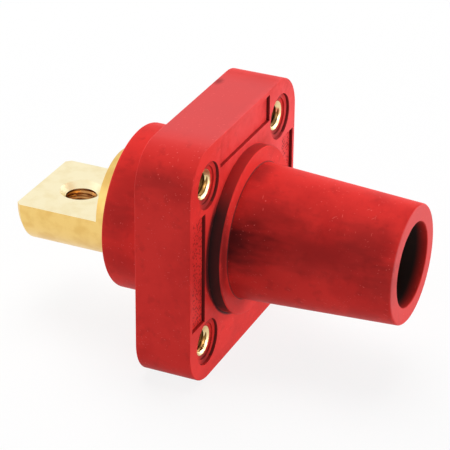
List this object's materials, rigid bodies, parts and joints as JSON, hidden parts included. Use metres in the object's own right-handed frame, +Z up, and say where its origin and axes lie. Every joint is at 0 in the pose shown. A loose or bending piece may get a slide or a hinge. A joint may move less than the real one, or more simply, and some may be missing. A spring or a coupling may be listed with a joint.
{
  "type": "panel-mount female single-pole cam-locking power connector",
  "caption": "Panel receptacle with a square red moulded flange, a hollow tapered nose over a cam-locking brass socket and a half-round tapped bus terminal behind.",
  "frame": {"origin": "on the connector's axis, in the flange's back face, which seats on the panel, at the centre of the four fixing holes", "axes": "+Y along the axis from the panel face towards the terminal, so the nose points along -Y; +Z up, normal to the terminal's flat; +X to the right seen from the nose"},
  "size_m": [0.0636, 0.1024, 0.0636],
  "materials": {
    "body": "satin moulded elastomer, slightly dusty",
    "contact": "bright turned brass",
    "insert": "bright turned brass"
  },
  "bodies": {
    "root": {"body": "body", "contact": "contact", "insert_top_left": "insert", "insert_top_right": "insert", "insert_bottom_left": "insert", "insert_bottom_right": "insert"}
  },
  "joints": []
}
